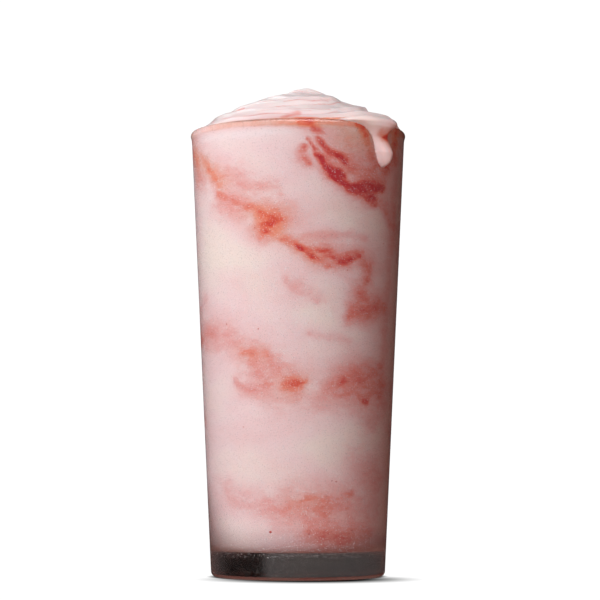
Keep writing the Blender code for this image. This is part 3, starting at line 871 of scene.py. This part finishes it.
def marbled_milkshake():
    """Thick blended milk, ice cream and fruit: opaque, softly scattering, moist on top."""
    made, tree, shader = new_material("marbled_milkshake", {
        "Roughness": 0.28, "IOR": 1.36, "Subsurface Weight": 0.3, "Subsurface Scale": 0.002,
        "Subsurface Radius": (1.0, 0.5, 0.4), "Specular IOR Level": 0.4,
    })
    place = add_node(tree, "ShaderNodeTexCoord").outputs["Object"]
    slanted = add_node(tree, "ShaderNodeMapping", {"Vector": place},
                       {"Rotation": (0, math.radians(20), 0), "Scale": (1, 1, 2.0)})
    wisps = add_node(tree, "ShaderNodeTexNoise", {"Vector": slanted.outputs["Vector"]},
                     {"Scale": 1 / (5.0 * MM), "Detail": 6, "Roughness": 0.62,
                      "Distortion": 0.3}).outputs["Fac"]
    cloud = add_node(tree, "ShaderNodeTexNoise", {"Vector": slanted.outputs["Vector"]},
                     {"Scale": 1 / (30 * MM), "Detail": 4, "Roughness": 0.5}).outputs["Fac"]
    painted = add_node(tree, "ShaderNodeVertexColor", layer_name="marbling").outputs
    split = add_node(tree, "ShaderNodeSeparateColor", {"Color": painted["Color"]})
    uneven = add_node(tree, "ShaderNodeMapRange", {"Value": wisps},
                      {"From Min": 0.32, "From Max": 0.68, "To Min": 0.62, "To Max": 1.22})
    amount = add_node(tree, "ShaderNodeMath", {0: split.outputs["Red"],
                                               1: uneven.outputs["Result"]},
                      operation="MULTIPLY", use_clamp=True)
    washed = add_node(tree, "ShaderNodeMapRange", {"Value": cloud},
                      {"From Min": 0.45, "From Max": 0.7, "To Max": 0.12})
    off_swirl = add_node(tree, "ShaderNodeMath", {1: painted["Alpha"]}, {0: 1.0},
                         operation="SUBTRACT")
    tinge = add_node(tree, "ShaderNodeMath", {0: washed.outputs["Result"],
                                              1: off_swirl.outputs[0]}, operation="MULTIPLY")
    total = add_node(tree, "ShaderNodeMath", {0: amount.outputs[0], 1: tinge.outputs[0]},
                     operation="ADD", use_clamp=True)
    creamy = add_node(tree, "ShaderNodeMapRange", {"Value": cloud},
                      {"From Min": 0.52, "From Max": 0.36, "To Max": 0.5})
    cream = add_node(tree, "ShaderNodeMath", {0: creamy.outputs["Result"],
                                              1: split.outputs["Blue"]},
                     operation="ADD", use_clamp=True)
    blend = add_node(tree, "ShaderNodeMix", {0: cream.outputs[0]},
                     {6: colour("e8d0d0"), 7: colour("e9dcd3")}, data_type="RGBA")
    # Paler milk on the swirl, and in the painted highlight band below the rim
    milk = add_node(tree, "ShaderNodeMix", {0: painted["Alpha"], 6: blend.outputs[2]},
                    {7: colour("eadddc")}, data_type="RGBA")
    red, orange = (add_node(tree, "ShaderNodeValToRGB", {"Fac": total.outputs[0]},
                            stops=stops).outputs["Color"] for stops in (RED_SYRUP, THIN_SYRUP))
    syrup = add_node(tree, "ShaderNodeMix", {0: split.outputs["Green"], 6: red, 7: orange},
                     data_type="RGBA")
    start = add_node(tree, "ShaderNodeMapRange", {"Value": total.outputs[0]},
                     {"From Min": 0.0, "From Max": 0.22})
    mixed = add_node(tree, "ShaderNodeMix", {0: start.outputs["Result"],
                                             6: milk.outputs[2], 7: syrup.outputs[2]},
                     data_type="RGBA")
    # Painted shade: the drink is drawn darker towards its floor, for the shade that the glass's
    # thick base casts on it.
    height = add_node(tree, "ShaderNodeSeparateXYZ", {"Vector": place}).outputs["Z"]
    lower = add_node(tree, "ShaderNodeMapRange", {"Value": height},
                     {"From Min": FLOOR_THICKNESS * MM, "From Max": 0.020, "To Min": 0.52},
                     interpolation_type="SMOOTHSTEP")
    painted_base_shade = add_node(tree, "ShaderNodeMix", {0: lower.outputs["Result"], 7: mixed.outputs[2]},
                       {6: colour("6a3a38")}, data_type="RGBA")
    tree.links.new(painted_base_shade.outputs[2], shader.inputs["Base Color"])
    froth = add_node(tree, "ShaderNodeTexNoise", {"Vector": place},
                     {"Scale": 1 / (1.1 * MM), "Detail": 3, "Roughness": 0.55})
    bump = add_node(tree, "ShaderNodeBump", {"Height": froth.outputs["Fac"]},
                    {"Strength": 0.25, "Distance": 0.0001})
    tree.links.new(bump.outputs["Normal"], shader.inputs["Normal"])
    return made


def lets_light_through(tree, shader):
    """Lets lamps reach what is behind a clear shader, as thin clear walls do."""
    path = add_node(tree, "ShaderNodeLightPath")
    clear = add_node(tree, "ShaderNodeBsdfTransparent", values={"Color": colour("f4f2f1")})
    lit = add_node(tree, "ShaderNodeMath", {0: path.outputs["Is Shadow Ray"],
                                            1: path.outputs["Is Diffuse Ray"]},
                   operation="MAXIMUM")
    mixed = add_node(tree, "ShaderNodeMixShader", {0: lit.outputs[0], 1: shader.outputs[0],
                                                   2: clear.outputs[0]})
    tree.links.new(mixed.outputs[0], tree.nodes["Material Output"].inputs["Surface"])


def misted_glass():
    """Moulded soda-lime glass with a fine breath of condensation, which blurs and sparkles. The
    mist's grain is near 0.05 mm, so it is drawn about eight times as coarse to show."""
    made, tree, shader = new_material("misted_soda_lime_glass", {
        "Base Color": colour("fbfbfa"), "IOR": GLASS_IOR,
    })
    place = add_node(tree, "ShaderNodeTexCoord").outputs["Object"]
    mist = add_node(tree, "ShaderNodeTexNoise", {"Vector": place},
                    {"Scale": 1 / (0.45 * MM), "Detail": 3, "Roughness": 0.6})
    patches = add_node(tree, "ShaderNodeTexNoise", {"Vector": place},
                       {"Scale": 1 / (14 * MM), "Detail": 3, "Roughness": 0.5})
    rough = add_node(tree, "ShaderNodeMapRange", {"Value": patches.outputs["Fac"]},
                     {"From Min": 0.35, "From Max": 0.65, "To Min": 0.10, "To Max": 0.22})
    tree.links.new(rough.outputs["Result"], shader.inputs["Roughness"])
    frost = add_node(tree, "ShaderNodeTexNoise", {"Vector": place},
                     {"Scale": 1 / (0.38 * MM), "Detail": 2, "Roughness": 0.6})
    specks = add_node(tree, "ShaderNodeMapRange", {"Value": frost.outputs["Fac"]},
                      {"From Min": 0.56, "From Max": 0.70, "To Min": 1.0, "To Max": 0.8})
    tree.links.new(specks.outputs["Result"], shader.inputs["Transmission Weight"])
    bump = add_node(tree, "ShaderNodeBump", {"Height": mist.outputs["Fac"]},
                    {"Strength": 0.35, "Distance": 0.00003})
    tree.links.new(bump.outputs["Normal"], shader.inputs["Normal"])
    lets_light_through(tree, shader)
    return made


def condensed_water():
    """Water in droplets so fine that they scatter light like frost, and pass little of it. They
    are drawn two to three times their real size to show."""
    made, tree, shader = new_material("condensed_water", {
        "Base Color": colour("fbf4f4"), "IOR": 1.333, "Transmission Weight": 0.2,
        "Roughness": 0.15,
    })
    lets_light_through(tree, shader)
    return made


def strawberry_pulp():
    """Wet bits of strawberry flesh and skin, uneven red with a soft shine."""
    made, tree, shader = new_material("strawberry_pulp", {
        "Roughness": 0.4, "IOR": 1.36, "Subsurface Weight": 0.1, "Subsurface Scale": 0.001,
    })
    place = add_node(tree, "ShaderNodeTexCoord").outputs["Object"]
    grain = add_node(tree, "ShaderNodeTexNoise", {"Vector": place},
                     {"Scale": 1 / (3 * MM), "Detail": 2})
    mixed = add_node(tree, "ShaderNodeMix", {0: grain.outputs["Fac"]},
                     {6: colour("a8443e"), 7: colour("cc7468")}, data_type="RGBA")
    tree.links.new(mixed.outputs[2], shader.inputs["Base Color"])
    return made


def painted_piece(name, verts, faces, look):
    """A piece of the milkshake with its marbling, from the vertices that its faces use."""
    used = sorted({v for face in faces for v in face})
    place = {v: n for n, v in enumerate(used)}
    piece = mesh_piece(name, verts[used], [tuple(place[v] for v in face) for face in faces], look)
    painted = np.stack(marbling(verts[used]), 1)
    layer = piece.data.attributes.new("marbling", "FLOAT_COLOR", "POINT")
    layer.data.foreach_set("color", painted.ravel())
    return piece


def build_milkshake(look):
    """The swirl with the spill on it, and the drink below the rim."""
    verts, swirl, drink = milkshake_shape()
    return (painted_piece("milkshake_swirl", verts, swirl, look),
            painted_piece("milkshake_drink", verts, drink, look))


def wall_frames(azimuths, heights, radii):
    """Places on a tapered wall with their rightward, upward and outward directions."""
    a = np.radians(azimuths)
    zero = np.zeros_like(a)
    taper = (RIM_RADIUS - FOOT_RADIUS) / GLASS_HEIGHT
    place = np.stack([radii * np.sin(a), -radii * np.cos(a), heights], 1)
    right = np.stack([np.cos(a), np.sin(a), zero], 1)
    outward = np.stack([np.sin(a), -np.cos(a), zero - taper], 1)
    outward /= np.linalg.norm(outward, axis=1)[:, None]
    return place, right, np.cross(outward, right), outward


def scatter(name, place, right, up, outward, sizes, rings, look, sides=5, tip=0.12):
    """One joined mesh of small round bodies, each a stack of rings with a tip. A ring is
    (radius, height), both as shares of the body's size."""
    parts = []
    for radius, height in rings:
        for turn in np.arange(sides) * 2 * math.pi / sides:
            parts.append(place + sizes[:, None] * (radius * math.cos(turn) * right
                                                   + radius * math.sin(turn) * up
                                                   + height * outward))
    parts.append(place + sizes[:, None] * (rings[-1][1] + tip) * outward)
    verts = np.stack(parts, 1)
    each = verts.shape[1]
    faces = [tuple(range(sides - 1, -1, -1))]
    for ring in range(len(rings) - 1):
        for i in range(sides):
            a, b = ring * sides + i, ring * sides + (i + 1) % sides
            faces.append((a, b, b + sides, a + sides))
    last = (len(rings) - 1) * sides
    faces += [(last + i, last + (i + 1) % sides, each - 1) for i in range(sides)]
    every = [tuple(n * each + v for v in face) for n in range(len(place)) for face in faces]
    return mesh_piece(name, verts.reshape(-1, 3), every, look, sharp_deg=60)


def build_droplets(look, count=46000, seed=5):
    """Fine droplets of condensation on the outer wall, clear of the spill."""
    rng = np.random.default_rng(seed)
    azimuths = rng.uniform(-180, 180, count)
    heights = rng.uniform(FLOOR_THICKNESS - 2, GLASS_HEIGHT - BEAD_HEIGHT - 1, count)
    clear = spill_depth(azimuths, heights - GLASS_HEIGHT) < -0.6
    azimuths, heights = azimuths[clear], heights[clear]
    sizes = DROPLET_SIZES[0] + DROPLET_SIZES[1] * rng.uniform(0, 1, len(azimuths)) ** 3
    frames = wall_frames(azimuths, heights, outer_radius(heights) - 0.02)
    return scatter("condensation", *frames, sizes, [(1.0, 0.0)], look, sides=4, tip=0.6)


DROPLET_SIZES = (0.07, 0.08)  # mm: the smallest half width, and what the largest adds to it
PULP_SIZES = (0.15, 0.4)  # mm
# Pulp that the photograph shows at the wall, as (x, y, size in mm)
SHOWN_PULP = [(267.4, 532, 0.6), (310, 534, 0.5), (332, 533.5, 0.5), (357, 530.6, 0.5),
              (304, 526, 0.35), (340, 481.6, 0.4), (243.8, 162.6, 0.2), (245.6, 161.2, 0.22),
              (247.4, 163.2, 0.2)]


def build_pulp(look, count=90, seed=3):
    """Bits of fruit pressed to the glass: seeded ones all round, then those that show."""
    rng = np.random.default_rng(seed)
    azimuths = list(rng.uniform(-180, 180, count))
    heights = list(rng.uniform(14, GLASS_HEIGHT - 6, count))
    sizes = list(rng.uniform(*PULP_SIZES, count))
    for px, py, size in SHOWN_PULP:
        azimuth, height = on_wall(px, py)
        azimuths.append(azimuth)
        heights.append(height)
        sizes.append(size)
    azimuths, heights, sizes = (np.array(v) for v in (azimuths, heights, sizes))
    frames = wall_frames(azimuths, heights, inner_radius(heights) + BITE - 0.1)
    return scatter("strawberry_bits", *frames, sizes, [(0.7, 0.0), (1.0, 0.12), (0.6, 0.3)], look)


# The stage

# Soft shade on the paper: its middle in mm, its half sizes, and where it starts and ends
FOOT_SHADES = [((4.0, -19.0), (35.0, 27.0), (0.5, 1.25)),
               ((0.0, 0.0), (FOOT_RADIUS, FOOT_RADIUS), (0.93, 1.08))]
PAPER_WHITE = 1.06
PAPER_REACH = 6.0  # metres from the middle to the paper's edge
CLIP = (0.01, 50)  # metres
# What the studio sends back from below to above, and what the glass mirrors from left to right
BOUNCE = [(0.0, "b08a7e"), (0.5, "79544e"), (1.0, "603f3c")]
STUDIO_WALLS = [(0.0, "353232"), (0.25, "363333"), (0.5, "413d3c"), (0.61, "444040"),
                (0.65, "020202"), (0.82, "020202"), (0.95, "3c3838"), (1.0, "444040")]


def aimed(location, target):
    """The turn that points a lamp from its place to a target."""
    return (Vector(target) - Vector(location)).to_track_quat("-Z", "Y").to_euler()


def area_light(name, azimuth, elevation, distance, size, watts, tint="ffffff"):
    """A softbox at a bearing from the drink's middle, facing it."""
    data = bpy.data.lights.new(name, "AREA")
    data.shape = "RECTANGLE"
    data.size, data.size_y = size
    data.energy = watts
    data.color = colour(tint)[:3]
    a, e = math.radians(azimuth), math.radians(elevation)
    middle = Vector((0, 0, GLASS_HEIGHT * MM / 2))
    spot = middle + distance * Vector((math.sin(a) * math.cos(e), -math.cos(a) * math.cos(e),
                                       math.sin(e)))
    lamp = bpy.data.objects.new(name, data)
    lamp.location = spot
    lamp.rotation_euler = aimed(spot, middle)
    bpy.context.scene.collection.objects.link(lamp)
    return lamp


def floor_look():
    """Seamless white paper lit to pure white, with the soft shade that gathers at the foot."""
    made, tree, shader = new_material("seamless_white_paper", {
        "Base Color": colour("000000"), "Roughness": 1.0, "Specular IOR Level": 0.0,
        "Emission Color": colour("ffffff"),
    })
    place = add_node(tree, "ShaderNodeTexCoord").outputs["Object"]
    shade = None
    for centre, spread, reach in FOOT_SHADES:
        offset = add_node(tree, "ShaderNodeVectorMath", {0: place},
                          {1: (centre[0] * MM, centre[1] * MM, 0)}, operation="SUBTRACT")
        scaled = add_node(tree, "ShaderNodeVectorMath", {0: offset.outputs["Vector"]},
                          {1: (1 / (spread[0] * MM), 1 / (spread[1] * MM), 1)},
                          operation="MULTIPLY")
        far = add_node(tree, "ShaderNodeVectorMath", {0: scaled.outputs["Vector"]},
                       operation="LENGTH")
        lit = add_node(tree, "ShaderNodeMapRange", {"Value": far.outputs["Value"]},
                       {"From Min": reach[0], "From Max": reach[1], "To Max": PAPER_WHITE},
                       interpolation_type="SMOOTHSTEP").outputs["Result"]
        shade = lit if shade is None else add_node(tree, "ShaderNodeMath", {0: shade, 1: lit},
                                                   operation="MINIMUM").outputs[0]
    tree.links.new(shade, shader.inputs["Emission Strength"])
    return made


def build_floor():
    """The paper that the glass stands on, which only the eye sees."""
    reach = PAPER_REACH
    mesh = bpy.data.meshes.new("floor")
    mesh.from_pydata([(-reach, -reach, 0), (reach, -reach, 0), (reach, reach, 0),
                      (-reach, reach, 0)], [], [(0, 1, 2, 3)])
    mesh.materials.append(floor_look())
    floor = bpy.data.objects.new("floor", mesh)
    floor.visible_diffuse = False
    floor.visible_glossy = False
    floor.visible_transmission = False
    bpy.context.scene.collection.objects.link(floor)


def build_flag():
    """A small black card at the left that keeps light off the glass's lower left edge."""
    mesh = bpy.data.meshes.new("flag")
    side, near, far, top = -0.045, -0.045, 0.03, 0.066
    mesh.from_pydata([(side, near, 0), (side, far, 0), (side, far, top), (side, near, 0.026)], [],
                     [(0, 1, 2, 3)])
    mesh.materials.append(new_material("black_card", {"Base Color": colour("101010")})[0])
    flag = bpy.data.objects.new("flag", mesh)
    flag.visible_camera = False
    flag.visible_diffuse = False
    flag.visible_glossy = False
    flag.visible_transmission = False
    bpy.context.scene.collection.objects.link(flag)
    return flag


def build_world():
    """White behind the glass for the eye, and a dim studio for what lights and reflects."""
    world = bpy.data.worlds.new("studio")
    bpy.context.scene.world = world
    world.use_nodes = True
    tree = world.node_tree
    tree.nodes.clear()
    path = add_node(tree, "ShaderNodeLightPath")
    seen = add_node(tree, "ShaderNodeBackground", values={"Color": colour("ffffff"),
                                                          "Strength": PAPER_WHITE})
    heading = add_node(tree, "ShaderNodeSeparateXYZ", {
        "Vector": add_node(tree, "ShaderNodeTexCoord").outputs["Generated"]})
    upwards = add_node(tree, "ShaderNodeMapRange", {"Value": heading.outputs["Z"]},
                       {"From Min": -0.6, "From Max": 0.6})
    bounce = add_node(tree, "ShaderNodeValToRGB", {"Fac": upwards.outputs["Result"]},
                      stops=BOUNCE)
    glow = add_node(tree, "ShaderNodeBackground", {"Color": bounce.outputs["Color"]})
    sideways = add_node(tree, "ShaderNodeMapRange", {"Value": heading.outputs["X"]},
                        {"From Min": -1.0, "From Max": 1.0})
    walls = add_node(tree, "ShaderNodeValToRGB", {"Fac": sideways.outputs["Result"]},
                     stops=STUDIO_WALLS)
    room = add_node(tree, "ShaderNodeBackground", {"Color": walls.outputs["Color"]})
    dim = add_node(tree, "ShaderNodeMixShader", {0: path.outputs["Is Diffuse Ray"],
                                                 1: room.outputs[0], 2: glow.outputs[0]})
    mixed = add_node(tree, "ShaderNodeMixShader", {0: path.outputs["Is Camera Ray"],
                                                   1: dim.outputs[0], 2: seen.outputs[0]})
    add_node(tree, "ShaderNodeOutputWorld", {"Surface": mixed.outputs[0]})


def build_camera():
    """The camera where the photograph's stood, a little under the middle and looking up."""
    data = bpy.data.cameras.new("camera")
    data.lens = CAMERA_LENS
    data.sensor_width = SENSOR
    data.clip_start, data.clip_end = CLIP
    camera = bpy.data.objects.new("camera", data)
    camera.location = (CAMERA_SIDE * MM, -CAMERA_DISTANCE * MM, CAMERA_HEIGHT * MM)
    camera.rotation_euler = (math.radians(90 + CAMERA_PITCH), 0, 0)
    bpy.context.scene.collection.objects.link(camera)
    bpy.context.scene.camera = camera


def main():
    swirl, drink = build_milkshake(marbled_milkshake())
    pieces = [
        (build_glass(misted_glass()), "glass", "clear_glass", "glass"),
        (drink, "milkshake", "milkshake_pink", "drink"),
        (swirl, "milkshake", "milkshake_pink", "swirl"),
        (build_droplets(condensed_water()), None, "clear_glass", "drink"),
        (build_pulp(strawberry_pulp()), None, "milkshake_pink", "drink"),
    ]
    groups = {name: bpy.data.collections.new(name) for name in ("glass", "drink", "swirl")}
    below_swirl = bpy.data.collections.new("below swirl")
    for piece, node, slot, group in pieces:
        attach(piece, "root")
        if node:
            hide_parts(node)
        groups[group].objects.link(piece)
        if group != "swirl":
            below_swirl.objects.link(piece)

    build_floor()
    below_swirl.objects.link(build_flag())
    build_world()
    key = area_light("key", -28, 18, 0.9, (0.7, 0.7), 10.2, "f4f9ff")
    side = area_light("side", -95, 42, 0.3, (0.12, 0.12), 0.34, "f4f9ff")
    swirl_key = area_light("swirl key", -30, 28, 0.9, (0.7, 0.8), 3.4, "f8faff")
    swirl_fill = area_light("swirl fill", 4, 2, 0.9, (0.6, 0.4), 4.2)
    for lamp, group in (
            (key, "drink"), (side, "drink"), (swirl_key, "swirl"), (swirl_fill, "swirl"),
            (area_light("frost", 12, 55, 0.9, (0.9, 0.9), 14.0), "glass"),
            (area_light("swirl top", 14, 66, 0.8, (0.6, 0.4), 2.8), "swirl"),
            (area_light("swirl back", 200, 42, 0.8, (0.4, 0.3), 0.85), "swirl")):
        lamp.light_linking.receiver_collection = groups[group]
    for lamp in (key, side, swirl_key, swirl_fill):
        lamp.visible_glossy = False
    for lamp in (key, side):
        lamp.light_linking.blocker_collection = below_swirl
    build_camera()
    bpy.context.scene.view_settings.view_transform = "Standard"


main()
